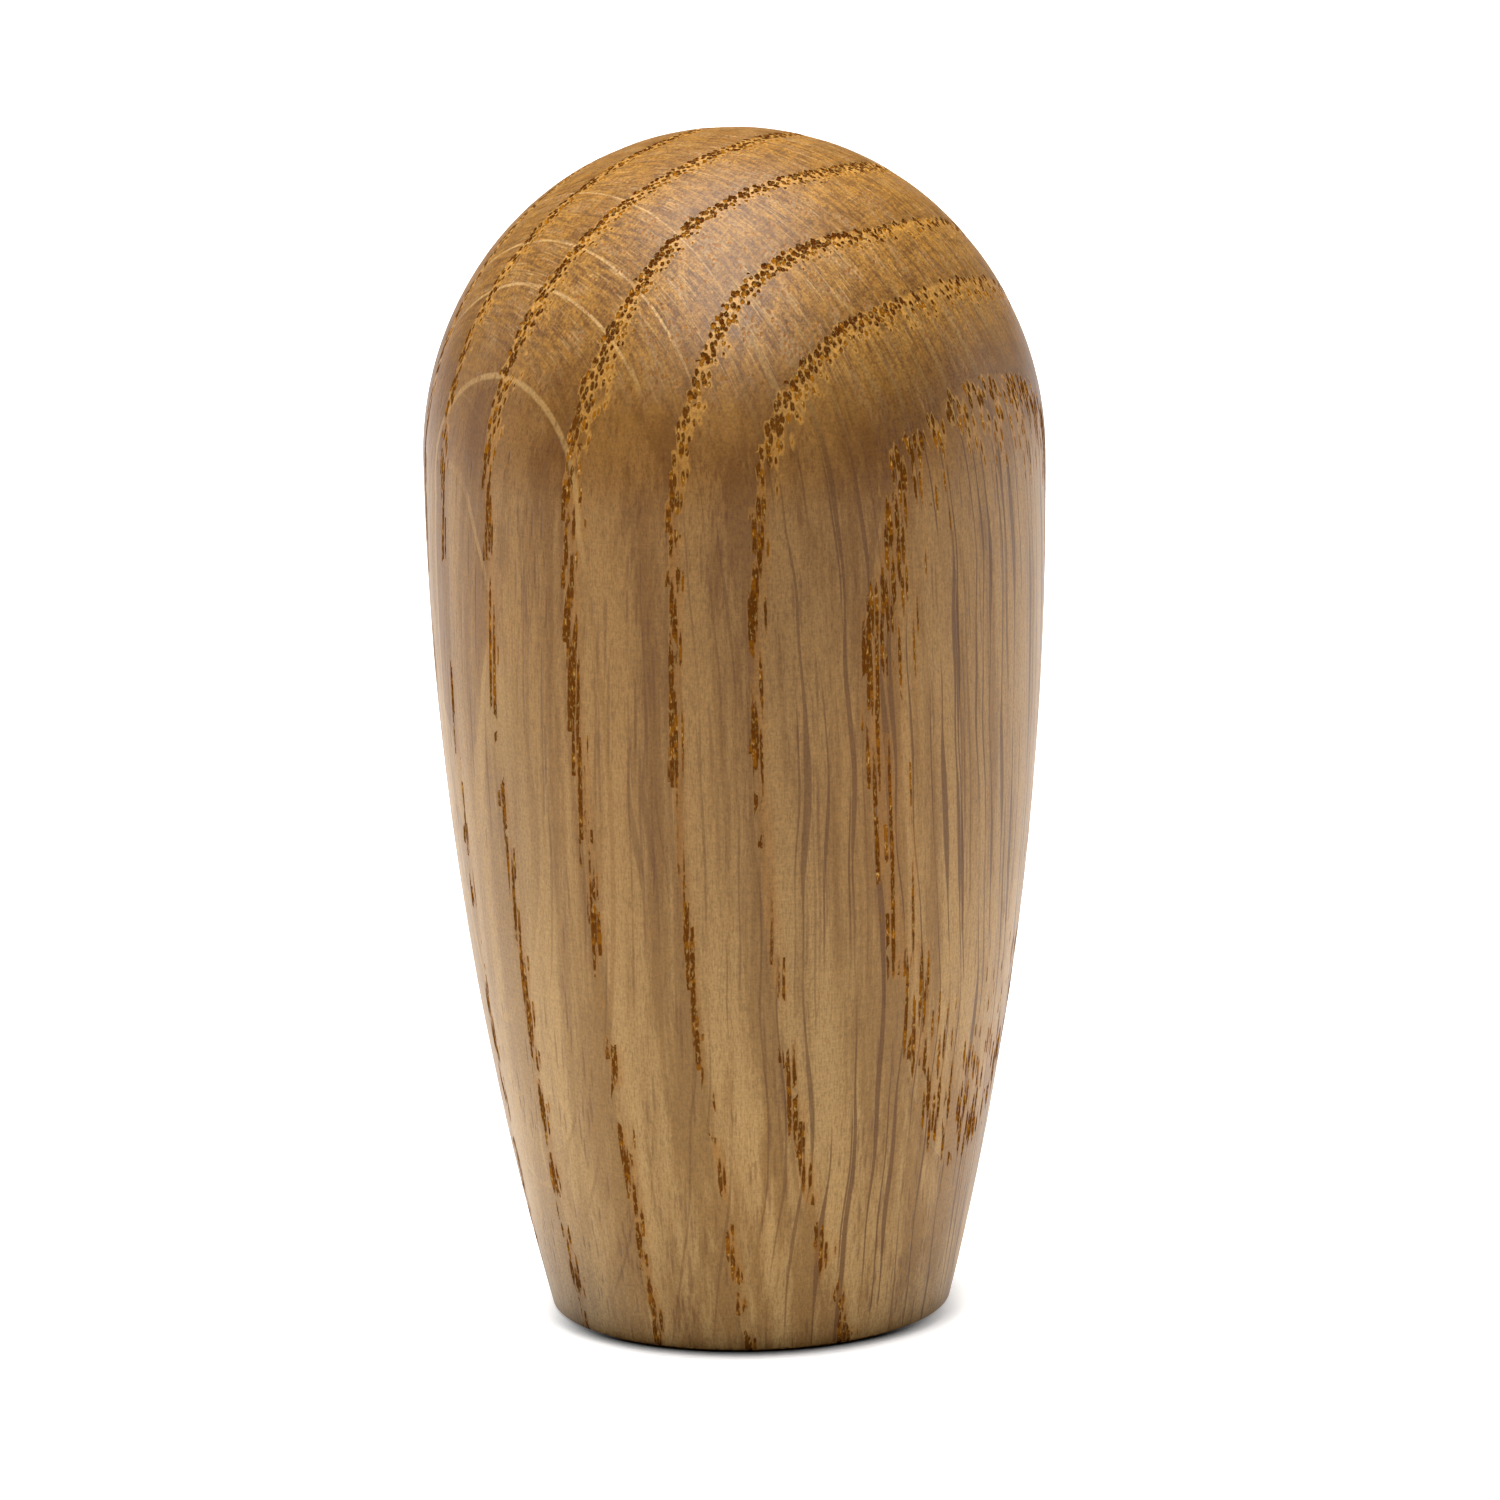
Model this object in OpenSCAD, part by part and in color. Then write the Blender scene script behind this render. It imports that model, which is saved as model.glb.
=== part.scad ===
// Plain turned figure of the kokeshi kind, in solid oak.
//
// Head and body are one billet. A domed crown runs without a seam into a long,
// slightly swelling taper that narrows to a small flat foot. The foot has a
// shallow turned recess that holds a felt pad, and the figure stands on the pad.
//
// +Z is up, along the turning axis. The origin is the centre of the face that
// the figure stands on. All sizes are in millimetres.

/* [Outline] */
// Height from the resting face to the top of the crown
total_h = 70; // [60:0.5:92]
// Diameter at the widest point
max_d = 36.2; // [32:0.1:36.8]
// Height of the dome, from the widest point to the top
dome_h = 18.9; // [18.5:0.1:24]
// Diameter of the foot
foot_d = 23.4; // [18:0.1:30]
// Radius of the crown as a share of the largest radius; smaller is more pointed
crown_share = 0.97; // [0.9:0.01:0.98]
// Width of the eased edge around the foot
edge_ease = 0.15; // [0.1:0.05:0.8]

/* [Foot pad] */
// Width of the bare wooden rim around the recess
rim_w = 2.7; // [2:0.1:4]
// Thickness of the felt disc
felt_t = 1.2; // [1:0.1:2]
// Thickness of the double-sided adhesive film over the felt
film_t = 0.15; // [0.1:0.05:0.3]
// Distance that the felt stands below the wooden rim
felt_proud = 0.1; // [0.05:0.05:0.5]
// Gap between the felt and the recess wall
felt_gap = 0.2; // [0.1:0.05:0.4]

/* [Hidden] */
$fn = 180;

oak_colour = "#a9835b";
film_colour = "#d9cfae";
felt_colour = "#4a3b2e";

max_r = max_d / 2;
foot_r = foot_d / 2;
widest_z = total_h - dome_h;
foot_z = felt_proud;

// The body taper is one arc that stands upright at the widest point and passes
// through the edge of the foot.
taper_h = widest_z - foot_z;
taper_in = max_r - foot_r;
taper_r = (taper_h * taper_h + taper_in * taper_in) / (2 * taper_in);

// The dome is two arcs. The crown arc is centred on the axis, and the shoulder
// arc meets it tangentially and stands upright at the widest point.
crown_r = crown_share * max_r;
crown_z = total_h - crown_r;
crown_drop = dome_h - crown_r;
shoulder_r = (max_r * max_r + dome_h * dome_h - 2 * dome_h * crown_r)
    / (2 * (max_r - crown_r));
shoulder_x = max_r - shoulder_r;
// Angle above the horizontal at which the two arcs of the dome meet
dome_blend_a = atan2(crown_drop, -shoulder_x);

recess_r = foot_r - rim_w;
recess_h = felt_t + film_t - felt_proud;
felt_r = recess_r - felt_gap;
film_inset = 0.2;
film_r = felt_r - film_inset;
// Overlap past a face where one shape cuts another
cut = 1;

// Half-plane wedge above the widest point and below the line where the arcs meet
module shoulder_wedge() {
    reach = 2 * max_r;
    polygon([
        [shoulder_x, widest_z],
        [reach, widest_z],
        [reach, widest_z + (reach - shoulder_x) * tan(dome_blend_a)]
    ]);
}

module crown_outline() {
    difference() {
        translate([0, crown_z]) circle(r = crown_r);
        shoulder_wedge();
        translate([-2 * max_r, widest_z - 4 * max_r]) square(4 * max_r);
    }
}

module shoulder_outline() {
    intersection() {
        translate([shoulder_x, widest_z]) circle(r = shoulder_r);
        shoulder_wedge();
    }
}

module taper_outline() {
    intersection() {
        translate([max_r - taper_r, widest_z]) circle(r = taper_r);
        translate([0, foot_z]) square([max_r + cut, taper_h]);
    }
}

// Corner that is taken off around the foot to ease its edge
module eased_corner() {
    polygon([
        [foot_r - edge_ease, foot_z],
        [foot_r + edge_ease, foot_z - cut],
        [foot_r + edge_ease, foot_z + 2 * edge_ease]
    ]);
}

module figure_outline() {
    intersection() {
        union() {
            crown_outline();
            shoulder_outline();
            taper_outline();
        }
        square([2 * max_r, total_h + cut]);
    }
}

module oak_body() {
    color(oak_colour)
    difference() {
        rotate_extrude()
            difference() {
                figure_outline();
                eased_corner();
            }
        translate([0, 0, foot_z - cut])
            cylinder(r = recess_r, h = recess_h + cut);
    }
}

module adhesive_film() {
    color(film_colour)
    translate([0, 0, felt_t])
        cylinder(r = film_r, h = film_t);
}

module felt_pad() {
    color(felt_colour)
    cylinder(r = felt_r, h = felt_t);
}

oak_body();
adhesive_film();
felt_pad();
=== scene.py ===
"""Plain turned oak figure of the kokeshi kind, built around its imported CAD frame.

The oak body is rebuilt as a fine mesh on the CAD outline. Its wood is solid: growth rings, vessels and rays
are worked out in space from where the billet sat in the tree, so end grain, flat grain and quarter grain all
come out of one description. Lengths in the wood's description are in millimetres, the rest is in metres.
"""

import math

import bpy
import numpy as np
from mathutils import Matrix, Vector


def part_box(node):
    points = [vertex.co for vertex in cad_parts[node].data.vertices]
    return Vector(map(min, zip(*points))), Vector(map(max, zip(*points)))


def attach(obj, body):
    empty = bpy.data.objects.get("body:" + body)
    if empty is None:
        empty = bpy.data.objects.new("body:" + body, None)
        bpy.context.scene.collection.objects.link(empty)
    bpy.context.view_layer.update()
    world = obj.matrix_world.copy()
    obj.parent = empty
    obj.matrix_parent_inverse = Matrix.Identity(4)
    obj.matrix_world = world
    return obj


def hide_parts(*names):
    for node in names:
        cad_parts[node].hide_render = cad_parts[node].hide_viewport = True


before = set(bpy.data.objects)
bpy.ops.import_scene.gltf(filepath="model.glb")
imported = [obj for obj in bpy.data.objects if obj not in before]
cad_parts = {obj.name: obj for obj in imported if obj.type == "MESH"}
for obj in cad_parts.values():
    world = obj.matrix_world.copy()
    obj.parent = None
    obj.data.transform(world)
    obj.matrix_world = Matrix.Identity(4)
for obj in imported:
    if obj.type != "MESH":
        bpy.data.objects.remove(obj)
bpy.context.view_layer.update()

MM = 0.001

# ---------------------------------------------------------------- camera and studio
CAMERA_DISTANCE = 0.700
CAMERA_ELEVATION = math.radians(13.63)
CAMERA_ROLL = math.radians(-1.163)
LENS_MM = 287.4
# Where the lens points, from the middle of the figure's axis, to the right and upwards in the picture
AIM_RIGHT = 0.6 * MM
AIM_UP = -1.71 * MM

FLOOR_SIZE = 8.0
FLOOR_ALBEDO = 0.90
FLOOR_GLOW = 0.58
# How far from the figure the painted contact shadow on the floor reaches, and how dark it gets
CONTACT_SHADOW = 2.4 * MM
FLOOR_SHADOW = (0.03, 0.03, 0.03, 1)
WORLD_LIGHT = 0.05

# ---------------------------------------------------------------- the billet in the tree, in millimetres
# Distance from the pith to the start of each growth ring
RING_STARTS = [3.5, 8.0, 12.6, 17.3, 22.0, 26.8, 31.8, 36.3, 39.3, 42.3, 45.9, 50.0]
RING_WIDTH = 4.3
# The pith beside the figure at half height, and how far it drifts for each millimetre upwards
PITH = (-23.1, 13.1)
PITH_DRIFT = (0.065, -0.010)
HALF_HEIGHT = 35.0
# Two places where the rings bend: x, y, spread, and how far they are drawn in towards the pith
RING_BENDS = [(-12.6, -4.2, 7.0, 2.5), (0.4, -8.8, 5.0, 1.9)]
# Slow waves in the rings
WAVE_LENGTH = 7.0
WAVE_DEPTH = 0.5

# Places where the wood is darker or paler, a few of them painted light and shade: x, z, spread in x, spread
# in z, and by what share
TONE_PATCHES = [
    (2.6, 38.0, 3.2, 13.0, -0.13),
    (-9.6, 31.0, 2.4, 9.0, 0.06),
    (-13.0, 33.0, 2.0, 8.0, -0.07),
    (-14.2, 43.5, 1.2, 2.6, 0.13),
    (11.5, 59.0, 4.5, 5.5, -0.22),
    (-12.0, 61.0, 4.0, 5.0, -0.08),
    # This patch is a painted highlight on the front of the crown
    (2.0, 62.5, 5.0, 3.5, 0.08),
    (3.5, 46.0, 8.0, 4.0, -0.08),
    (7.5, 37.0, 2.0, 6.0, 0.12),
    (3.6, 17.0, 2.0, 6.0, -0.09),
    (0.5, 10.0, 2.2, 4.0, 0.12),
    # These two darken the foot's edges at left and right: painted shade where the foot meets the floor
    (-10.0, 1.5, 2.0, 3.0, -0.34),
    (10.0, 1.5, 1.6, 3.0, -0.20),
]

# The fibres lean forwards by this much for each millimetre upwards, and wander sideways by this much
FIBRE_LEAN = -0.11
FIBRE_WANDER = 0.5

VESSEL_SPACING = 0.29
# Radius of a vessel at the start of a ring and further out, and the width of the stained wood around it
VESSEL_LARGE = 0.175
VESSEL_SMALL = 0.06
VESSEL_HALO = 0.20
# Length of the open and filled stretches of a vessel
BEAD_LENGTH = 0.9
# How deep the earlywood is in each ring, down on the side and up on the crown
EARLYWOOD_SIDE = 0.85
EARLYWOOD_CROWN = 1.35
# The row of vessels at the left front that holds together almost to the foot
HELD_ROW_X = -4.3

LATE_SPACING = 0.29
LATE_PORE = 0.115

# The rays fan out from here. Their spacing and half thickness are those at RAY_REACH from it
RAY_ORIGIN = (-24.0, 14.0)
RAY_REACH = 30.0
RAY_SPACING = 0.62
RAY_HALF_THIN = 0.034
RAY_HALF = 0.14
RAY_HEIGHT = 13.0
# Broad rays that lie flat under the left front face this way from the axis, and lean with the fibres
BROAD_RAY_AZIMUTH = math.radians(-51)
BROAD_RAY_LEAN = 0.072
# Each one's distance from the axis at the shoulder, half thickness, foot and top
BROAD_RAYS = [
    (16.85, 0.09, 12.0, 66.0),
    (18.62, 0.22, 33.0, 48.0),
    (14.1, 0.08, 56.0, 72.0),
    (12.1, 0.08, 57.0, 72.0),
    (9.0, 0.06, 62.0, 72.0),
]
SHOULDER = 50.0

# Lengths of the wood's patterns. With the fibres straightened, or in plain space: in x, in y and upwards
FIBRE_WANDER_LENGTH = (9.0, 9.0, 14.0)
BROAD_FIBRE = (1.3, 1.3, 26.0)
MIDDLE_FIBRE = (0.24, 0.24, 5.0)
FINE_FIBRE = (0.075, 0.075, 0.6)
VESSEL_CLUMP = (1.7, 1.7, 3.4)
VESSEL_GRIT = (0.11, 0.11, 0.34)
STREAK_PATCH = (1.8, 1.8, 1.8)
BROAD_RAY_WOBBLE = (5.0, 5.0, 9.0)
SANDING_MARK = (9.0, 9.0, 0.07)
HAND_SANDING = (7.0, 7.0, 10.0)
TONE_DRIFT = (14.0, 14.0, 26.0)
TONE_GRAIN = (0.15, 0.15, 0.15)
# In the fan of the rays: across the rays, along them and upwards
RAY_WOBBLE = (9.0, 12.0, 13.0)
FIBRE_BLOCK = (0.22, 1.1, 5.0)
FIBRE_ROW = (2.0, 0.16, 5.0)
FLAME = (0.6, 2.3, 20.0)
END_STREAK_LENGTH = (0.08, 2.4, 6.0)

# The felt's strands run in three directions, under slow clouds of colour
FELT_STRANDS = ((0.12, 0.7, 0.3), (0.7, 0.12, 0.3), (0.3, 0.3, 0.12))
FELT_CLOUD = (2.5, 2.5, 2.5)

# ---------------------------------------------------------------- the turned outline
# Radius of the crown's own arc as a share of the widest radius, and the rounding of the foot's edge
CROWN_SHARE = 0.97
FOOT_EASE = 0.15 * MM
# The crown's cap is a grid of this many cells each way, out to this angle from the top
CAP_CELLS = 96
CAP_TILT = math.radians(36)
# Steps along the rest of the crown, the shoulder and the taper
CROWN_STEPS = 12
SHOULDER_STEPS = 46
TAPER_STEPS = 122
RECESS_LIP = 0.1 * MM
# The rounded edge of the felt disc
FELT_SIDES = 144
FELT_EDGE = 0.25 * MM
FELT_EDGE_STEPS = 5
FELT_FUZZ = 0.05 * MM


def srgb(red, green, blue):
    """A colour given as 8-bit sRGB, as the linear colour that a shader takes."""
    def linear(v):
        v /= 255
        return v / 12.92 if v <= 0.04045 else ((v + 0.055) / 1.055) ** 2.4
    return (linear(red), linear(green), linear(blue), 1)


SIDE_LIGHT = srgb(159, 122, 71)
SIDE_DARK = srgb(129, 92, 44)
SIDE_STAIN = srgb(146, 97, 34)
SILVER = srgb(180, 148, 102)
# Painted light bounced from the white floor: the lower body is made paler and bluer
PAINTED_FLOOR_BOUNCE_TINT = (1.04, 1.09, 1.15, 1)
SIDE_FLECK = srgb(92, 58, 18)
RING_LINE = srgb(106, 68, 22)
# Painted shade on the shoulder: browner and darker where the fibres run up into the surface
PAINTED_SHOULDER_SHADE_TINT = (0.68, 0.55, 0.34, 1)
END_GOLD = srgb(174, 124, 52)
END_MAUVE = srgb(112, 74, 34)
END_FLAME = srgb(160, 126, 82)
PORE_DARK = srgb(76, 28, 0)
PORE_BROWN = srgb(84, 42, 4)
PORE_GOLD = srgb(206, 149, 66)
PORE_AMBER = srgb(150, 90, 12)
END_STREAK = srgb(206, 168, 112)
# Painted glint: bright specks on the pores that stand in for light catching them
PAINTED_PORE_GLINT = srgb(224, 182, 108)
RAY_PALE = srgb(176, 138, 80)
RAY_DARK = srgb(92, 58, 20)

FELT_DARK = srgb(52, 40, 30)
FELT_LIGHT = srgb(98, 78, 60)
FELT_DULL = srgb(74, 60, 48)
FILM_DARK = srgb(206, 190, 150)
FILM_LIGHT = srgb(226, 214, 182)
FILM_AIR = srgb(240, 234, 216)


class Graph:
    """Short calls that add nodes to one tree. add, noise and cells return the node, the others a socket."""

    def __init__(self, tree):
        self.tree = tree

    def put(self, socket, value):
        if isinstance(value, bpy.types.NodeSocket):
            self.tree.links.new(value, socket)
        else:
            socket.default_value = value

    def add(self, kind, inputs=None, **settings):
        node = self.tree.nodes.new(kind)
        for name, value in settings.items():
            setattr(node, name, value)
        for key, value in (inputs or {}).items():
            self.put(node.inputs[key], value)
        return node

    def math(self, operation, *values):
        return self.add("ShaderNodeMath", dict(enumerate(values)), operation=operation).outputs[0]

    def plus(self, *values):
        total = values[0]
        for value in values[1:]:
            total = self.math("ADD", total, value)
        return total

    def minus(self, a, b):
        return self.math("SUBTRACT", a, b)

    def times(self, *values):
        product = values[0]
        for value in values[1:]:
            product = self.math("MULTIPLY", product, value)
        return product

    def vector(self, operation, a, b):
        return self.add("ShaderNodeVectorMath", {0: a, 1: b}, operation=operation).outputs["Vector"]

    def scaled(self, vector, share):
        """The vector times a number or a socket."""
        node = self.add("ShaderNodeVectorMath", operation="SCALE")
        self.put(node.inputs[0], vector)
        self.put(node.inputs["Scale"], share)
        return node.outputs["Vector"]

    def xyz(self, x, y, z=0.0):
        return self.add("ShaderNodeCombineXYZ", {0: x, 1: y, 2: z}).outputs[0]

    def split(self, vector):
        return self.add("ShaderNodeSeparateXYZ", {0: vector}).outputs[:3]

    def ramp(self, value, start, end, low=0.0, high=1.0):
        """Goes smoothly from low to high while value goes from start to end."""
        inputs = {"Value": value, "From Min": start, "From Max": end, "To Min": low, "To Max": high}
        return self.add("ShaderNodeMapRange", inputs, interpolation_type="SMOOTHSTEP").outputs[0]

    def mix(self, factor, a, b):
        """The colour a where factor is 0 and b where it is 1."""
        return self.add("ShaderNodeMix", {0: factor, 6: a, 7: b}, data_type="RGBA").outputs[2]

    def mix_value(self, factor, a, b):
        """The number a where factor is 0 and b where it is 1."""
        return self.add("ShaderNodeMix", {0: factor, 2: a, 3: b}, data_type="FLOAT").outputs[0]

    def stretched(self, place, lengths):
        """A place (x, y, z) with each coordinate divided by its own length."""
        return self.xyz(*(self.math("DIVIDE", c, length) for c, length in zip(place, lengths)))

    def noise(self, vector, detail=1.0, roughness=0.5, dimensions="3D"):
        return self.add("ShaderNodeTexNoise", {"Vector": vector, "Scale": 1.0, "Detail": detail,
                                               "Roughness": roughness}, noise_dimensions=dimensions)

    def cloud(self, place, lengths, detail=1.0, roughness=0.5):
        """Noise at a place, with features of the given lengths in each direction."""
        return self.noise(self.stretched(place, lengths), detail, roughness).outputs[0]

    def bump(self, height, strength=1.0):
        """The normal of a surface with this height, given in millimetres."""
        return self.add("ShaderNodeBump", {"Strength": strength, "Distance": MM, "Height": height}).outputs[0]

    def cells(self, vector, dimensions, randomness=1.0):
        """A field of cells, each with its own centre and its own random colour."""
        socket = "W" if dimensions == "1D" else "Vector"
        return self.add("ShaderNodeTexVoronoi", {socket: vector, "Scale": 1.0, "Randomness": randomness},
                        voronoi_dimensions=dimensions)


def new_material(name):
    """An empty node material, and the graph that builds it."""
    material = bpy.data.materials.new(name)
    material.use_nodes = True
    material.node_tree.nodes.clear()
    return material, Graph(material.node_tree)


def object_millimetres(g):
    """The shaded point in the object's own frame, in millimetres."""
    return g.scaled(g.add("ShaderNodeTexCoord").outputs["Object"], 1 / MM)


# ---------------------------------------------------------------- the wood, in space
def ring_at(g, point):
    """How many rings lie inside a point. The fraction is how far through its ring it is."""
    x, y, z = g.split(point)
    wave = g.noise(g.stretched((x, y, z), (WAVE_LENGTH, WAVE_LENGTH, 3 * WAVE_LENGTH))).outputs["Color"]
    shift_x, shift_y, _ = g.split(g.vector("SUBTRACT", wave, (0.5, 0.5, 0.5)))
    rise = g.minus(z, HALF_HEIGHT)
    from_x = g.plus(g.minus(g.minus(x, PITH[0]), g.times(rise, PITH_DRIFT[0])), g.times(shift_x, WAVE_DEPTH))
    from_y = g.plus(g.minus(g.minus(y, PITH[1]), g.times(rise, PITH_DRIFT[1])), g.times(shift_y, WAVE_DEPTH))
    radius = g.math("SQRT", g.plus(g.times(from_x, from_x), g.times(from_y, from_y)))
    along_y = g.minus(y, g.times(rise, FIBRE_LEAN))
    for bend_x, bend_y, spread, depth in RING_BENDS:
        off_x, off_y = g.minus(x, bend_x), g.minus(along_y, bend_y)
        square = g.plus(g.times(off_x, off_x), g.times(off_y, off_y))
        radius = g.plus(radius, g.times(g.math("EXPONENT", g.times(square, -0.5 / spread ** 2)), depth))
    return ring_number(g, radius)


def ring_number(g, radius):
    """How many rings lie inside a radius, counting parts of a ring."""
    reach = RING_STARTS[-1]
    count = len(RING_STARTS) - 1
    node = g.add("ShaderNodeFloatCurve", {"Value": g.math("DIVIDE", radius, reach)})
    curve = node.mapping.curves[0]
    curve.points[0].location = (RING_STARTS[0] / reach, 0)
    curve.points[1].location = (1, 1)
    for k, start in enumerate(RING_STARTS[1:-1], 1):
        curve.points.new(start / reach, k / count)
    for point in curve.points:
        point.handle_type = "VECTOR"
    node.mapping.update()
    return g.times(node.outputs[0], count)


def outwards_at(g, point):
    """How far outwards a point lies in its own growth ring, in millimetres of a ring of usual width."""
    return g.times(g.math("FRACT", ring_at(g, point)), RING_WIDTH)


def across_fibres(g, point):
    """The x and y where the leaning, wandering fibres through a point cross the level at half height."""
    x, y, z = g.split(point)
    wander = g.noise(g.stretched((x, y, z), FIBRE_WANDER_LENGTH)).outputs["Color"]
    shift_x, shift_y, _ = g.split(g.vector("SUBTRACT", wander, (0.5, 0.5, 0.5)))
    rise = g.minus(z, HALF_HEIGHT)
    flat_x = g.plus(x, g.times(shift_x, FIBRE_WANDER))
    flat_y = g.plus(g.minus(y, g.times(rise, FIBRE_LEAN)), g.times(shift_y, FIBRE_WANDER))
    return flat_x, flat_y


def from_ray_origin(g, flat_x, flat_y):
    """Distance from the origin of the rays, and the angle around it."""
    from_x, from_y = g.minus(flat_x, RAY_ORIGIN[0]), g.minus(flat_y, RAY_ORIGIN[1])
    radius = g.math("SQRT", g.plus(g.times(from_x, from_x), g.times(from_y, from_y)))
    return radius, g.math("ARCTAN2", from_y, from_x)


class Spot:
    """What is known of each shaded point of the oak.

    Its place in the billet in millimetres, how the surface lies to the wood there, and the patterns that more
    than one part of the material uses."""

    def __init__(self, g):
        coordinates = g.add("ShaderNodeTexCoord")
        self.point = g.scaled(coordinates.outputs["Object"], 1 / MM)
        self.place = g.split(self.point)
        _, _, self.z = self.place
        self.outwards = outwards_at(g, self.point)
        # Its place once the fibres are straightened, and its place in the fan of the rays
        flat_x, flat_y = across_fibres(g, self.point)
        self.straight = (flat_x, flat_y, self.z)
        radius, angle = from_ray_origin(g, flat_x, flat_y)
        self.fan = (g.times(angle, RAY_REACH), radius, self.z)

        # How squarely the fibres meet the surface, how far it is end grain, how far it lies along the rays
        normal_x, normal_y, normal_z = g.split(coordinates.outputs["Normal"])
        self.meeting = g.plus(normal_z, g.times(normal_y, FIBRE_LEAN))
        self.end = g.ramp(g.math("ABSOLUTE", self.meeting), 0.22, 0.70)
        sine, cosine = g.math("SINE", angle), g.math("COSINE", angle)
        self.flatness = g.math("ABSOLUTE", g.minus(g.times(normal_x, sine), g.times(normal_y, cosine)))

        # Fibres at three widths, and the fine rings left by sanding on the lathe
        self.broad = g.cloud(self.straight, BROAD_FIBRE, detail=2.0)
        self.middle = g.cloud(self.straight, MIDDLE_FIBRE, detail=2.0)
        self.fine = g.cloud(self.straight, FINE_FIBRE)
        self.sanding = g.cloud(self.place, SANDING_MARK)
        # The dark line that ends a ring, the soft wood that starts the next, and its vessels
        ring_end = g.ramp(self.outwards, RING_WIDTH - 0.32, RING_WIDTH - 0.08)
        self.line = g.times(ring_end, g.ramp(self.broad, 0.40, 0.60))
        self.start = g.times(g.ramp(self.outwards, 0.0, 0.2), g.ramp(self.outwards, 1.0, 0.3))
        self.reach, self.crowd = vessel_band(g, self)
        # The pale flames of the latewood, where its pores gather
        self.flame = g.times(g.ramp(g.cloud(self.fan, FLAME), 0.52, 0.64), g.ramp(self.outwards, 0.8, 1.6))


def vessel_band(g, spot):
    """How deep the band of vessels at the start of a ring is, and how many of its vessels are there.

    They stay together near the crown and part into short clumps near the foot. They part higher up on the
    left, except in one row that holds together almost to the foot. On the right, where the surface runs along
    the ring, the band is deeper and its vessels are fewer and spread evenly."""
    x, _, z = spot.place
    clump = g.cloud(spot.straight, VESSEL_CLUMP)
    parting = g.plus(z, g.times(g.math("MINIMUM", g.plus(x, 5.0), 0.0), 1.9))
    from_held_row = g.math("ABSOLUTE", g.minus(x, HELD_ROW_X))
    parting = g.plus(parting, g.ramp(from_held_row, 2.8, 1.0, 0.0, 15.0))
    together, parted = g.ramp(clump, 0.30, 0.50, 0.80, 1.15), g.ramp(clump, 0.38, 0.60, 0.0, 1.4)
    crowd = g.mix_value(g.ramp(parting, 32.0, 18.0), together, parted)
    right = g.ramp(spot.straight[0], 7.0, 11.0)
    crowd = g.mix_value(right, crowd, g.ramp(clump, 0.30, 0.60, 0.45, 0.80))
    reach = g.plus(g.ramp(z, 44.0, 58.0, EARLYWOOD_SIDE, EARLYWOOD_CROWN), g.times(right, 0.45))
    return reach, crowd


def vessels(g, spot):
    """Earlywood vessels: tubes along the fibres, widest and closest where a ring starts.

    Returns how much a point is inside one, how much it is near one, how full the tube is and its grit."""
    flat_x, flat_y, z = spot.straight
    scaled = g.xyz(g.math("DIVIDE", flat_x, VESSEL_SPACING), g.math("DIVIDE", flat_y, VESSEL_SPACING))
    cell = g.cells(scaled, "2D", randomness=0.8)
    # A vessel is there or not as a whole, so the ring is asked for at its own centre
    to_centre = g.scaled(g.vector("SUBTRACT", cell.outputs["Position"], scaled), VESSEL_SPACING)
    outwards = outwards_at(g, g.vector("ADD", spot.point, to_centre))
    draw_size, draw_presence, draw_filling = g.split(cell.outputs["Color"])
    chance = g.times(g.ramp(outwards, 0.25, g.times(spot.reach, 1.15), 0.97, 0.0), spot.crowd)
    present = g.math("LESS_THAN", draw_presence, chance)

    grit = g.cloud(spot.straight, VESSEL_GRIT)
    ragged = g.plus(g.times(g.minus(grit, 0.5), 0.9), 1.0)
    distance = g.times(cell.outputs["Distance"], VESSEL_SPACING, ragged)
    size = g.ramp(outwards, 0.25, spot.reach, VESSEL_LARGE, VESSEL_SMALL)
    size = g.times(size, g.plus(g.times(draw_size, 0.5), 0.70))
    inside = g.times(g.ramp(distance, size, g.times(size, 0.60)), present)
    near = g.times(g.ramp(distance, g.plus(size, VESSEL_HALO), size), present)

    beads = g.noise(g.xyz(g.times(draw_filling, 40.0), g.math("DIVIDE", z, BEAD_LENGTH)), detail=2.0,
                    dimensions="2D").outputs[0]
    filled = g.ramp(g.plus(beads, g.ramp(outwards, 0.3, 1.0, -0.05, 0.12)), 0.48, 0.60)
    return inside, near, filled, grit


def late_pores(g, spot):
    """The fine pores of the latewood, gathered in its flames."""
    flat_x, flat_y, _ = spot.straight
    scaled = g.xyz(g.math("DIVIDE", flat_x, LATE_SPACING), g.math("DIVIDE", flat_y, LATE_SPACING))
    cell = g.cells(scaled, "2D")
    distance = g.times(cell.outputs["Distance"], LATE_SPACING)
    draw, _, _ = g.split(cell.outputs["Color"])
    present = g.math("LESS_THAN", draw, g.plus(g.times(spot.flame, 0.80), 0.04))
    return g.times(g.ramp(distance, LATE_PORE, 0.4 * LATE_PORE), present, g.ramp(spot.outwards, 0.8, 1.4))


def rays(g, spot):
    """Medullary rays: thin upright sheets, each fading in and out along its height.

    More of them show where they are cut across, and fewer low down."""
    across, _, z = spot.fan
    wobble = g.cloud(spot.fan, RAY_WOBBLE)
    cell = g.cells(g.math("DIVIDE", g.plus(across, g.times(wobble, 1.2)), RAY_SPACING), "1D")
    distance = g.times(cell.outputs["Distance"], RAY_SPACING)
    strength = g.noise(g.xyz(g.times(cell.outputs["W"], 5.3), g.math("DIVIDE", z, RAY_HEIGHT)), detail=0.0,
                       dimensions="2D").outputs[0]
    more = g.minus(g.ramp(spot.flatness, 0.75, 0.30, 0.0, 0.12), g.times(g.ramp(z, 30.0, 18.0), 0.07))
    strength = g.plus(strength, more)
    half = g.ramp(strength, 0.62, 0.92, RAY_HALF_THIN, RAY_HALF)
    return g.times(g.ramp(distance, g.times(half, 1.25), g.times(half, 0.75)), g.ramp(strength, 0.42, 0.56))


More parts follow.
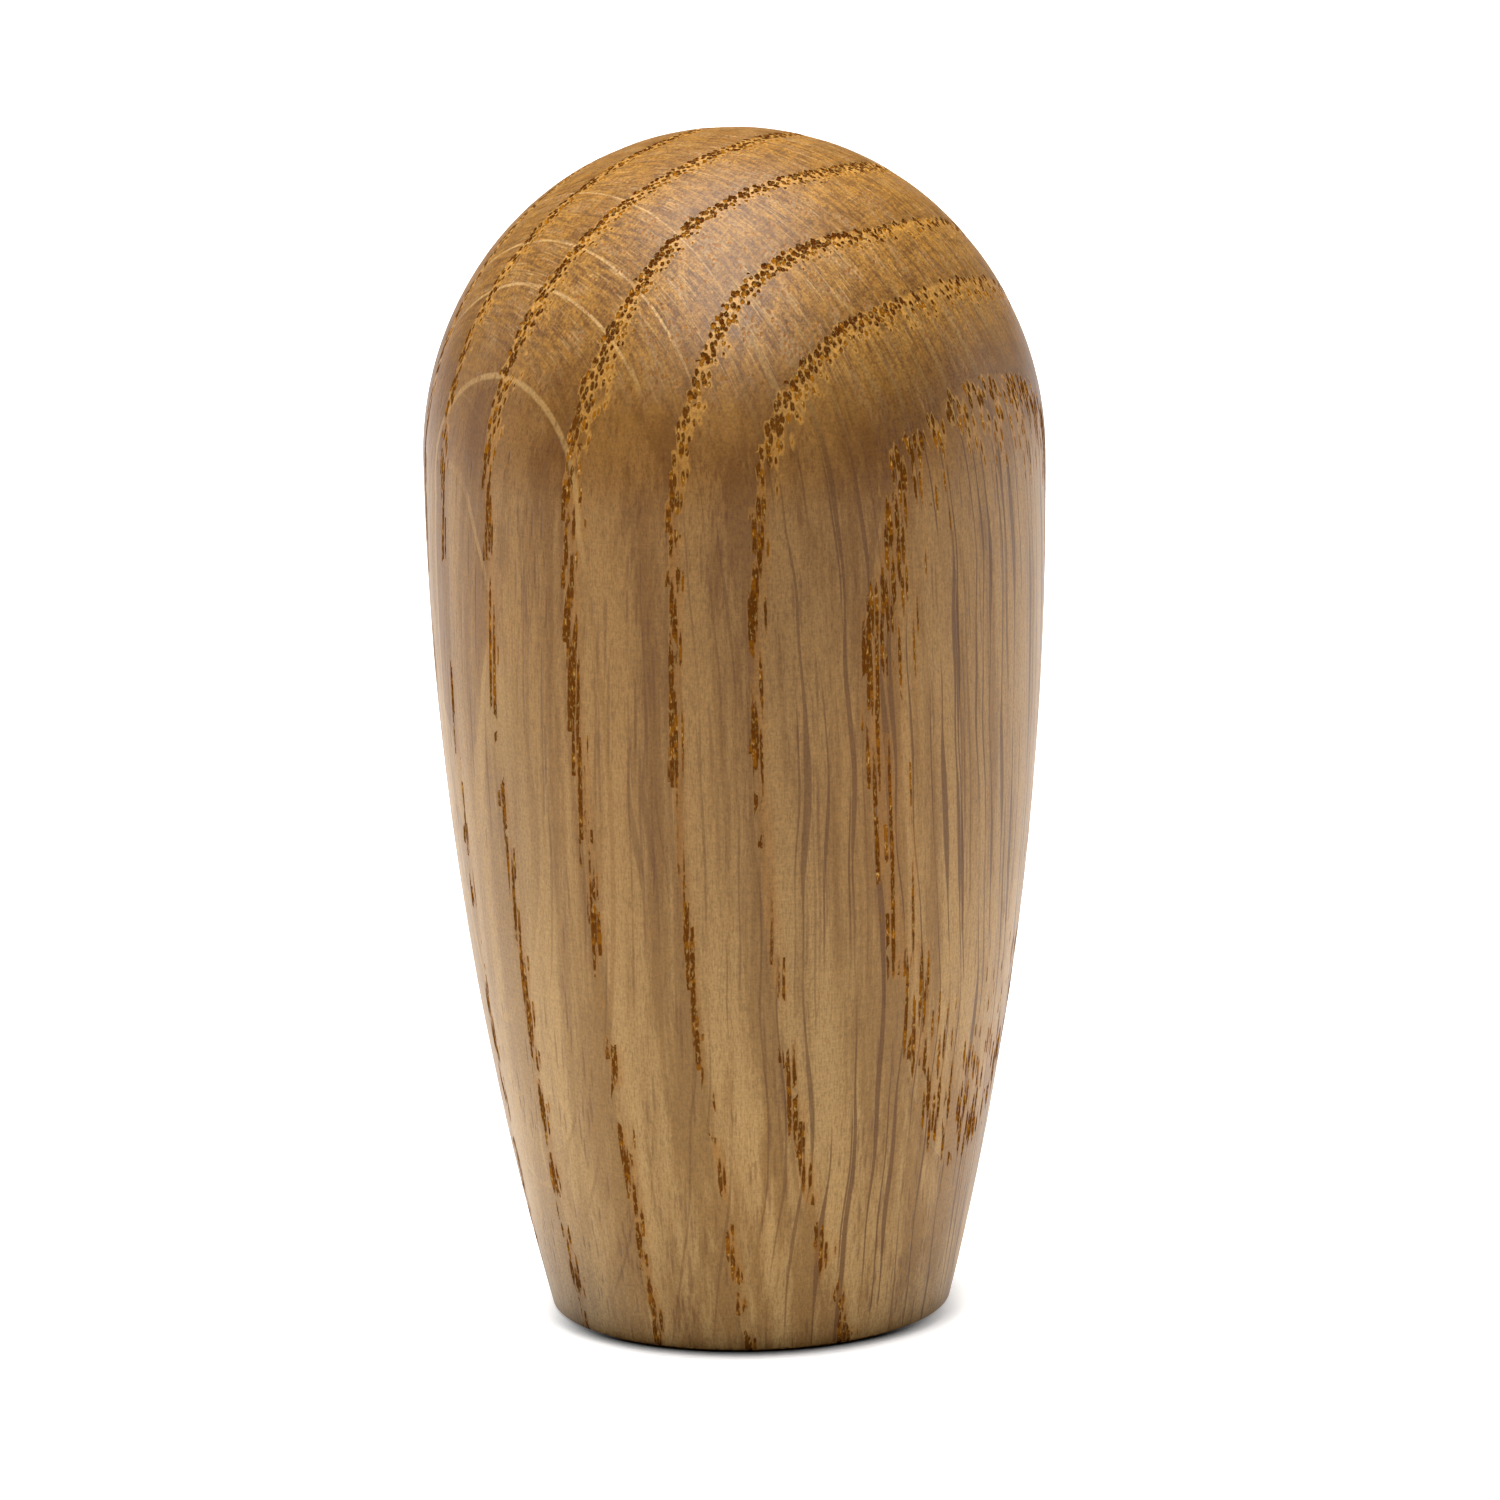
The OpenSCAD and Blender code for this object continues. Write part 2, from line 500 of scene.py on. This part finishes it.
def broad_rays(g, spot):
    """The broad rays that lie almost flat under the left front, so that they show as tall arches."""
    x, y, z = spot.place
    depth = g.minus(g.times(x, math.sin(BROAD_RAY_AZIMUTH)), g.times(y, math.cos(BROAD_RAY_AZIMUTH)))
    lean = g.times(g.math("MINIMUM", g.minus(z, SHOULDER), 0.0), BROAD_RAY_LEAN)
    wobble = g.cloud(spot.place, BROAD_RAY_WOBBLE)
    sheet = g.minus(g.minus(depth, lean), g.times(g.minus(wobble, 0.5), 0.12))
    found = 0.0
    for distance, half, foot, top in BROAD_RAYS:
        away = g.math("ABSOLUTE", g.minus(sheet, distance))
        height = g.times(g.ramp(z, foot, foot + 5), g.ramp(z, top, top - 2))
        found = g.math("MAXIMUM", g.times(g.ramp(away, half, 0.4 * half), height), found)
    return found


def tone_patches(g, x, z):
    """By what share the wood is paler or darker here than elsewhere, partly painted highlight and shade."""
    total = 0.0
    for patch_x, patch_z, wide, high, amount in TONE_PATCHES:
        across, along = g.minus(x, patch_x), g.minus(z, patch_z)
        fall = g.plus(g.times(across, across, -0.5 / wide ** 2), g.times(along, along, -0.5 / high ** 2))
        total = g.plus(g.times(g.math("EXPONENT", fall), amount), total)
    return total


def oak_relief(g, point):
    """How far the sanded surface stands out, in millimetres. The soft start of each ring is worn lower."""
    outwards = outwards_at(g, point)
    furrow_end = g.ramp(outwards, EARLYWOOD_CROWN + 0.4, EARLYWOOD_CROWN - 0.8)
    furrow = g.times(g.ramp(outwards, 0.0, 0.4), furrow_end)
    hand = g.cloud(g.split(point), HAND_SANDING)
    return g.minus(g.times(g.minus(hand, 0.5), 0.06), g.times(furrow, 0.02))


# ---------------------------------------------------------------- the oak's colour
def side_grain(g, spot):
    """The long surfaces: paler after a row of vessels, darker towards the next, browner at the shoulder with
    painted shade, and paler and bluer towards the foot with painted light from the floor.
    """
    late = g.math("MAXIMUM", g.ramp(spot.outwards, 1.6, 3.9, -0.07, 0.08),
                  g.ramp(spot.outwards, 0.9, 0.0, -0.07, 0.08))
    fibres = g.minus(g.plus(g.times(spot.broad, 0.68), g.times(spot.middle, 0.32)), late)
    colour = g.mix(g.ramp(fibres, 0.36, 0.64), SIDE_DARK, SIDE_LIGHT)
    colour = g.mix(g.ramp(spot.fine, 0.50, 0.64, 0.0, 0.30), colour, SIDE_FLECK)
    colour = g.mix(g.times(spot.line, 0.38), colour, RING_LINE)
    colour = g.mix(g.times(spot.start, spot.crowd, 0.30), colour, SIDE_STAIN)
    silvery = g.times(g.ramp(spot.flatness, 0.82, 0.98, 0.0, 0.24), g.ramp(spot.z, 44.0, 28.0))
    colour = g.mix(silvery, colour, SILVER)
    # Painted shade on the shoulder where the fibres run up into the surface, and painted floor light towards
    # the foot
    painted_shoulder_shade = g.mix(g.ramp(spot.meeting, -0.12, 0.26), (1, 1, 1, 1), PAINTED_SHOULDER_SHADE_TINT)
    return g.vector("MULTIPLY", colour, g.mix(g.ramp(spot.z, 34.0, 12.0), painted_shoulder_shade, PAINTED_FLOOR_BOUNCE_TINT))


def end_grain(g, spot):
    """The crown: blocks of dark fibre between the rays, golden ring starts, pale flames and streaks."""
    blocks = g.cloud(spot.fan, FIBRE_BLOCK, detail=2.0, roughness=0.6)
    rows = g.cloud(spot.fan, FIBRE_ROW)
    fibres = g.plus(g.times(blocks, 0.55), g.times(rows, 0.20), g.times(spot.fine, 0.25))
    colour = g.mix(g.ramp(fibres, 0.38, 0.62), END_MAUVE, END_GOLD)
    colour = g.mix(g.ramp(spot.outwards, 1.8, 3.8, 0.0, 0.34), colour, END_MAUVE)
    colour = g.mix(g.times(spot.start, 0.52), colour, PORE_GOLD)
    colour = g.mix(g.times(spot.flame, 0.45), colour, END_FLAME)
    colour = g.mix(g.times(spot.line, 0.30), colour, RING_LINE)
    streak = g.ramp(g.cloud(spot.fan, END_STREAK_LENGTH), 0.56, 0.70, 0.0, 0.42)
    patchy = g.ramp(g.cloud(spot.straight, STREAK_PATCH), 0.42, 0.62)
    return g.mix(g.times(streak, patchy), colour, END_STREAK)


def add_rays(g, spot, colour, ray):
    """Rays are pale on the end grain and where they lie flat, and dark where they are cut across."""
    pale = g.math("MAXIMUM", spot.end, g.ramp(spot.flatness, 0.90, 0.99))
    crossing = g.ramp(spot.flatness, 0.75, 0.30, 0.40, 0.85)
    across, radius, _ = spot.fan
    broken = g.noise(g.xyz(g.math("DIVIDE", across, 1.5), g.math("DIVIDE", radius, 2.2))).outputs[0]
    seen = g.mix_value(pale, crossing, g.ramp(broken, 0.42, 0.62, 0.10, 0.45))
    colour = g.mix(g.times(ray, seen), colour, g.mix(pale, RAY_DARK, RAY_PALE))

    arch_pale = g.math("MAXIMUM", pale, g.ramp(spot.z, 46.0, 52.0))
    arch_colour = g.mix(spot.end, g.mix(arch_pale, SIDE_DARK, RAY_PALE), END_STREAK)
    arch_broken = g.mix_value(spot.end, 1.0, g.ramp(broken, 0.36, 0.56, 0.5, 1.0))
    arch_seen = g.times(g.mix_value(spot.end, 0.55, 0.68), arch_broken)
    return g.mix(g.times(broad_rays(g, spot), arch_seen), colour, arch_colour)


def add_pores(g, spot, colour, small, vessel):
    """Pores are open dark tubes or tubes filled with golden tyloses, and both carry painted glints."""
    inside, near, filled, painted_glint = vessel
    late_colour = g.mix(spot.end, PORE_BROWN, PORE_AMBER)
    colour = g.mix(g.times(small, g.mix_value(spot.end, 0.35, 0.85)), colour, late_colour)
    golden = g.ramp(spot.meeting, 0.02, 0.35)
    halo = g.mix(golden, SIDE_STAIN, PORE_GOLD)
    colour = g.mix(g.times(near, g.mix_value(golden, 0.34, 0.46)), colour, halo)
    filled = g.times(filled, g.mix_value(golden, 0.55, 1.0))
    tube = g.mix(filled, g.mix(spot.end, PORE_BROWN, PORE_DARK), PORE_AMBER)
    # Painted glints: bright specks laid on the tubes in place of light catching them
    tube = g.mix(g.times(painted_glint, g.mix_value(filled, 0.30, 0.75)), tube, PAINTED_PORE_GLINT)
    return g.mix(g.times(inside, g.mix_value(spot.end, 0.88, 0.95)), colour, tube)


def tone(g, spot):
    """How bright the wood is here: slow drift, patches, sanding rings, grain, painted floor light that makes
    the lower body a little paler, and painted shade on the last few millimetres above the floor.
    """
    x, _, z = spot.place
    drift = g.cloud(spot.place, TONE_DRIFT)
    scratched = g.times(g.minus(spot.sanding, 0.5), g.ramp(drift, 0.40, 0.60, 0.08, 0.22))
    grain = g.times(g.minus(g.cloud(spot.place, TONE_GRAIN), 0.5), g.mix_value(spot.end, 0.60, 1.35))
    # Painted light and shade: the lower body a little paler, as if lit from the white floor, and the last 3.5
    # mm above the floor darker, as contact shade
    foot = g.times(g.ramp(z, 30.0, 8.0, 0.93, 0.985), g.ramp(z, 0.0, 3.5, 0.90, 1.0))
    return g.plus(g.times(g.minus(drift, 0.5), 0.25), tone_patches(g, x, z), scratched, foot, grain)


def surface_height(g, spot, inside, painted_glint, small, ray):
    """Height in millimetres for the bump: open pores, rays, fibres and sanding rings."""
    return g.plus(
        g.times(inside, g.plus(g.mix_value(spot.end, -0.06, -0.20), g.times(painted_glint, 0.05))),
        g.times(small, -0.02),
        g.times(ray, g.mix_value(spot.end, -0.010, 0.006)),
        g.times(spot.middle, 0.018),
        g.times(spot.fine, 0.010),
        g.times(spot.sanding, 0.003),
    )


def oak_material():
    """Oiled oak, worked out from the place and the direction of the surface in the billet."""
    material, g = new_material("oak")
    spot = Spot(g)
    ray = rays(g, spot)
    small = late_pores(g, spot)
    inside, near, filled, grit = vessels(g, spot)
    # Where the painted glints go on the pores; the same mask also lifts the bump a little
    painted_glint = g.ramp(grit, 0.54, 0.68)

    colour = g.mix(spot.end, side_grain(g, spot), end_grain(g, spot))
    colour = add_rays(g, spot, colour, ray)
    colour = add_pores(g, spot, colour, small, (inside, near, filled, painted_glint))
    colour = g.scaled(colour, tone(g, spot))
    height = surface_height(g, spot, inside, painted_glint, small, ray)
    bump = g.bump(height)
    roughness = g.plus(g.times(spot.middle, 0.10), 0.38, g.times(inside, 0.25))
    shader = g.add("ShaderNodeBsdfPrincipled", {"Base Color": colour, "Roughness": roughness, "Normal": bump})
    shader.inputs["IOR"].default_value = 1.48
    g.put(shader.inputs["Specular IOR Level"], g.mix_value(inside, 0.20, 0.0))
    g.add("ShaderNodeOutputMaterial", {"Surface": shader.outputs[0]})
    return material


# ---------------------------------------------------------------- the other materials
def felt_material():
    """Pressed wool felt: matted fibres in every direction, with a soft nap."""
    material, g = new_material("felt")
    place = g.split(object_millimetres(g))
    strands = [g.cloud(place, lengths, detail=3.0, roughness=0.6) for lengths in FELT_STRANDS]
    matted = g.math("MAXIMUM", g.math("MAXIMUM", strands[0], strands[1]), strands[2])
    colour = g.mix(g.ramp(matted, 0.45, 0.75), FELT_DARK, FELT_LIGHT)
    colour = g.mix(g.ramp(g.cloud(place, FELT_CLOUD, detail=2.0), 0.3, 0.7, 0.0, 0.35), colour, FELT_DULL)
    bump = g.bump(g.times(matted, 0.15))
    shader = g.add("ShaderNodeBsdfPrincipled", {"Base Color": colour, "Roughness": 0.95, "Normal": bump})
    shader.inputs["Sheen Weight"].default_value = 0.4
    shader.inputs["Sheen Roughness"].default_value = 0.6
    g.add("ShaderNodeOutputMaterial", {"Surface": shader.outputs[0]})
    return material


def film_material():
    """Acrylic adhesive film with trapped air and a paper-fibre carrier."""
    material, g = new_material("adhesive_film")
    point = object_millimetres(g)
    bubbles = g.add("ShaderNodeTexVoronoi", {"Vector": point, "Scale": 0.9, "Randomness": 1.0})
    trapped = g.ramp(bubbles.outputs["Distance"], 0.30, 0.18)
    carrier = g.noise(point, detail=4.0, roughness=0.65).outputs[0]
    colour = g.mix(g.ramp(carrier, 0.35, 0.65), FILM_DARK, FILM_LIGHT)
    colour = g.mix(g.times(trapped, 0.5), colour, FILM_AIR)
    roughness = g.plus(g.times(trapped, 0.25), 0.30)
    bump = g.bump(g.times(trapped, 0.03), strength=0.6)
    shader = g.add("ShaderNodeBsdfPrincipled", {"Base Color": colour, "Roughness": roughness, "Normal": bump})
    g.add("ShaderNodeOutputMaterial", {"Surface": shader.outputs[0]})
    return material


def floor_material():
    """Matt white paint with a barely visible mottle, darkened by a painted contact shadow where the figure
    stands on it.
    """
    material, g = new_material("studio_floor")
    point = g.add("ShaderNodeTexCoord").outputs["Object"]
    mottle = g.noise(point, detail=2.0).outputs[0]
    low = tuple([FLOOR_ALBEDO - 0.01] * 3 + [1])
    high = tuple([FLOOR_ALBEDO + 0.01] * 3 + [1])
    contact = g.add("ShaderNodeAmbientOcclusion", samples=8)
    contact.inputs["Distance"].default_value = CONTACT_SHADOW
    _, y, _ = g.split(point)
    # The light comes from behind, so the shadow gathers in front
    in_front = g.ramp(y, 0.0, -9.0 * MM, 0.15, 1.0)
    shade = g.mix_value(in_front, 1.0, g.ramp(contact.outputs["AO"], 0.38, 0.85))
    colour = g.mix(shade, FLOOR_SHADOW, g.mix(mottle, low, high))
    shader = g.add("ShaderNodeBsdfPrincipled", {"Base Color": colour, "Roughness": 0.9,
                                                "Emission Color": (1, 1, 1, 1),
                                                "Emission Strength": g.times(shade, FLOOR_GLOW)})
    shader.inputs["Specular IOR Level"].default_value = 0.0
    g.add("ShaderNodeOutputMaterial", {"Surface": shader.outputs[0]})
    return material


# ---------------------------------------------------------------- the turned body
def outline_sizes():
    """The figure's driving sizes, in metres, read off the CAD nodes."""
    low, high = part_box("oak_body")
    _, pad_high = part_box("felt_pad")
    _, film_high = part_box("adhesive_film")
    corners = np.array([v.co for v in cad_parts["oak_body"].data.vertices])
    spans = np.hypot(corners[:, 0], corners[:, 1])
    hair = 0.02 * MM
    widest = spans.max()
    at_foot = spans[corners[:, 2] < low.z + hair]
    return {
        "top": high.z,
        "foot": low.z,
        "widest": widest,
        "widest_z": corners[spans > widest - hair, 2].max(),
        "foot_radius": at_foot.max(),
        "recess_radius": at_foot.min(),
        "recess_top": film_high.z,
        "pad_radius": pad_high.x,
        "pad_top": pad_high.z,
    }


def arc_points(centre, radius, start, end, steps):
    """Points (r, z) along an arc around centre, from one angle above the horizontal to another."""
    centre_r, centre_z = centre
    return [(centre_r + radius * math.cos(a), centre_z + radius * math.sin(a))
            for a in np.linspace(start, end, steps + 1)]


def body_outline(size):
    """The outline from the edge of the cap down the outside and up into the recess, as (r, z) points."""
    widest, widest_z = size["widest"], size["widest_z"]
    ease = FOOT_EASE
    dome = size["top"] - widest_z
    crown = CROWN_SHARE * widest
    shoulder = (widest ** 2 + dome ** 2 - 2 * dome * crown) / (2 * (widest - crown))
    blend = math.atan2(dome - crown, shoulder - widest)
    foot_edge = size["foot_radius"] + ease
    drop, inset = widest_z - size["foot"], widest - foot_edge
    taper = (drop ** 2 + inset ** 2) / (2 * inset)
    taper_end = math.asin((drop - ease) / taper)
    points = arc_points((0, size["top"] - crown), crown, math.pi / 2 - CAP_TILT, blend, CROWN_STEPS)
    points += arc_points((widest - shoulder, widest_z), shoulder, blend, 0, SHOULDER_STEPS)[1:]
    points += arc_points((widest - taper, widest_z), taper, 0, -taper_end, TAPER_STEPS)[1:]
    # The rounded edge of the foot, its flat rim, and the recess for the felt
    edge_r, edge_z = points[-1]
    points += [(edge_r - 0.35 * ease, edge_z - 0.55 * ease), (edge_r - 0.75 * ease, edge_z - 0.88 * ease)]
    points += [(size["foot_radius"] - 0.1 * ease, size["foot"])]
    recess, recess_top = size["recess_radius"], size["recess_top"]
    points += [(recess + RECESS_LIP, size["foot"]), (recess, size["foot"] + RECESS_LIP)]
    points += [(recess, recess_top - RECESS_LIP), (recess - RECESS_LIP, recess_top)]
    points += [(recess * share, recess_top) for share in (0.75, 0.5, 0.25, 0.06)]
    return points


def disc_grid(cells):
    """A square grid bent onto the unit disc, so that no row of faces meets in a point.

    Returns the points as (r, angle), the quads, and the rim's points anticlockwise from -45 degrees."""
    steps = np.linspace(-1, 1, cells + 1)
    points = []
    for v in steps:
        for u in steps:
            if u == 0 and v == 0:
                points.append((0.0, 0.0))
            elif abs(u) >= abs(v):
                points.append((abs(u), math.pi / 4 * v / u + (math.pi if u < 0 else 0)))
            else:
                points.append((abs(v), math.pi / 2 - math.pi / 4 * u / v + (math.pi if v < 0 else 0)))
    row = cells + 1
    quads = [(j * row + i, j * row + i + 1, (j + 1) * row + i + 1, (j + 1) * row + i)
             for j in range(cells) for i in range(cells)]
    last = cells
    rim = [j * row + last for j in range(cells)] + [last * row + i for i in range(last, 0, -1)]
    rim += [j * row for j in range(last, 0, -1)] + [i for i in range(last)]
    return points, quads, rim


def turned_mesh(name, size):
    """The body as one closed mesh: a gridded cap, then a ring of points for each point of the outline."""
    outline = body_outline(size)
    crown = CROWN_SHARE * size["widest"]
    grid, faces, previous = disc_grid(CAP_CELLS)
    points = []
    for share, angle in grid:
        tilt = share * CAP_TILT
        span = crown * math.sin(tilt)
        height = size["top"] - crown * (1 - math.cos(tilt))
        points.append((span * math.cos(angle), span * math.sin(angle), height))
    sides = len(previous)
    for r, z in outline[1:]:
        start = len(points)
        for k in range(sides):
            angle = 2 * math.pi * k / sides - math.pi / 4
            points.append((r * math.cos(angle), r * math.sin(angle), z))
        ring = list(range(start, start + sides))
        for k in range(sides):
            n = (k + 1) % sides
            faces.append((previous[k], ring[k], ring[n], previous[n]))
        previous = ring
    points.append((0, 0, outline[-1][1]))
    centre = len(points) - 1
    faces += [(previous[k], centre, previous[(k + 1) % sides]) for k in range(sides)]
    return smooth_mesh(name, points, faces)


def smooth_mesh(name, points, faces):
    mesh = bpy.data.meshes.new(name)
    mesh.from_pydata(points, [], faces)
    mesh.validate()
    mesh.update()
    mesh.shade_smooth()
    return mesh


def apply_relief(obj):
    """Moves the surface in and out with the wood's own rings, by geometry nodes that are then applied."""
    tree = bpy.data.node_groups.new("oak_relief", "GeometryNodeTree")
    tree.interface.new_socket("Geometry", in_out="INPUT", socket_type="NodeSocketGeometry")
    tree.interface.new_socket("Geometry", in_out="OUTPUT", socket_type="NodeSocketGeometry")
    g = Graph(tree)
    point = g.scaled(g.add("GeometryNodeInputPosition").outputs[0], 1 / MM)
    _, _, z = g.split(point)
    # No relief inside the recess or on the standing face
    outside = g.ramp(z, 0.6, 2.5)
    height = g.times(oak_relief(g, point), MM, outside)
    offset = g.scaled(g.add("GeometryNodeInputNormal").outputs[0], height)
    source = g.add("NodeGroupInput").outputs[0]
    moved = g.add("GeometryNodeSetPosition", {"Geometry": source, "Offset": offset})
    g.add("NodeGroupOutput", {0: moved.outputs[0]})
    modifier = obj.modifiers.new("relief", "NODES")
    modifier.node_group = tree
    depsgraph = bpy.context.evaluated_depsgraph_get()
    obj.data = bpy.data.meshes.new_from_object(obj.evaluated_get(depsgraph))
    obj.modifiers.clear()


def turned_body(size):
    body = bpy.data.objects.new("turned_oak_body", turned_mesh("turned_oak_body", size))
    bpy.context.scene.collection.objects.link(body)
    apply_relief(body)
    body.data.materials.clear()
    body.data.materials.append(oak_material())
    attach(body, "root")
    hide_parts("oak_body")
    return body


def felt_disc(size):
    """The felt disc: soft rounded edges and a slightly uneven, fibrous rim."""
    sides, radius, top = FELT_SIDES, size["pad_radius"], size["pad_top"]
    inner = radius - FELT_EDGE
    outline = [(share * radius, 0.0) for share in (0.0, 0.35, 0.7, 0.9)]
    outline += arc_points((inner, FELT_EDGE), FELT_EDGE, -math.pi / 2, 0, FELT_EDGE_STEPS)
    outline += arc_points((inner, top - FELT_EDGE), FELT_EDGE, 0, math.pi / 2, FELT_EDGE_STEPS)
    outline += [(share * radius, top) for share in (0.9, 0.7, 0.35, 0.0)]
    chance = np.random.default_rng(7)
    points, faces = [], []
    for r, z in outline[1:-1]:
        for k in range(sides):
            angle = 2 * math.pi * k / sides
            near_rim = max(0.0, r / radius - 0.9) * 10
            span = r - near_rim * FELT_FUZZ * chance.random()
            points.append((span * math.cos(angle), span * math.sin(angle), z))
    rings = len(outline) - 2
    for j in range(rings - 1):
        for k in range(sides):
            n = (k + 1) % sides
            faces.append((j * sides + k, j * sides + n, (j + 1) * sides + n, (j + 1) * sides + k))
    bottom, lid = len(points), len(points) + 1
    points += [(0, 0, 0), (0, 0, top)]
    faces += [(bottom, (k + 1) % sides, k) for k in range(sides)]
    last = (rings - 1) * sides
    faces += [(lid, last + k, last + (k + 1) % sides) for k in range(sides)]
    felt = bpy.data.objects.new("felt_disc", smooth_mesh("felt_disc", points, faces))
    bpy.context.scene.collection.objects.link(felt)
    felt.data.materials.append(felt_material())
    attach(felt, "root")
    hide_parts("felt_pad")
    return felt


# ---------------------------------------------------------------- the studio
def studio_floor():
    bpy.ops.mesh.primitive_grid_add(x_subdivisions=8, y_subdivisions=8, size=FLOOR_SIZE)
    floor = bpy.context.active_object
    floor.name = "studio_floor"
    floor.data.materials.append(floor_material())
    return floor


def softbox(name, place, width, height, watts, target):
    """A rectangular light that faces the target."""
    light = bpy.data.lights.new(name, "AREA")
    light.shape = "RECTANGLE"
    light.size = width
    light.size_y = height
    light.energy = watts
    holder = bpy.data.objects.new(name, light)
    bpy.context.scene.collection.objects.link(holder)
    holder.location = place
    holder.rotation_euler = (target - Vector(place)).to_track_quat("-Z", "Y").to_euler()
    return holder


def studio_light(size):
    """One large soft light above and behind, and weak ones at both sides and in front."""
    world = bpy.data.worlds.new("studio")
    bpy.context.scene.world = world
    world.use_nodes = True
    backdrop = world.node_tree.nodes["Background"]
    backdrop.inputs["Color"].default_value = (1, 1, 1, 1)
    backdrop.inputs["Strength"].default_value = WORLD_LIGHT
    middle = Vector((0, 0, size["top"] / 2))
    softbox("overhead_softbox", (-0.04, 0.12, 0.95), 0.7, 0.7, 17.0, middle)
    softbox("left_softbox", (-0.95, 0.30, 0.36), 0.6, 0.8, 2.55, middle)
    softbox("right_softbox", (0.95, 0.30, 0.14), 0.6, 0.3, 1.9, middle)
    softbox("front_fill", (-0.03, -0.50, 0.80), 0.4, 0.4, 1.6, middle)
    # A panel above the camera that shows only as the sheen on the front of the dome
    sheen = softbox("front_panel", (-0.03, -0.42, 0.85), 0.40, 0.45, 11.0, middle)
    sheen.visible_diffuse = False


def camera(size):
    """The camera looks a little down on the figure, and is rolled so that the figure leans slightly left."""
    lens = bpy.data.cameras.new("camera")
    lens.lens = LENS_MM
    lens.sensor_width = 36
    lens.clip_start = 0.01
    lens.clip_end = 50
    holder = bpy.data.objects.new("camera", lens)
    bpy.context.scene.collection.objects.link(holder)
    middle = Vector((0, 0, size["top"] / 2))
    back = Vector((0, -math.cos(CAMERA_ELEVATION), math.sin(CAMERA_ELEVATION)))
    up = Vector((0, math.sin(CAMERA_ELEVATION), math.cos(CAMERA_ELEVATION)))
    turn = Matrix.Rotation(CAMERA_ROLL, 3, back)
    picture_right, picture_up = turn @ Vector((1, 0, 0)), turn @ up
    holder.location = middle + back * CAMERA_DISTANCE + picture_right * AIM_RIGHT + picture_up * AIM_UP
    axes = Matrix((picture_right, picture_up, back)).transposed()
    holder.rotation_euler = axes.to_euler()
    bpy.context.scene.camera = holder
    return holder


sizes = outline_sizes()
turned_body(sizes)
felt_disc(sizes)
# The film is shown by its own CAD node, which only gets a material
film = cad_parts["adhesive_film"]
film.data.materials.clear()
film.data.materials.append(film_material())
studio_floor()
studio_light(sizes)
camera(sizes)
bpy.context.scene.view_settings.view_transform = "Standard"
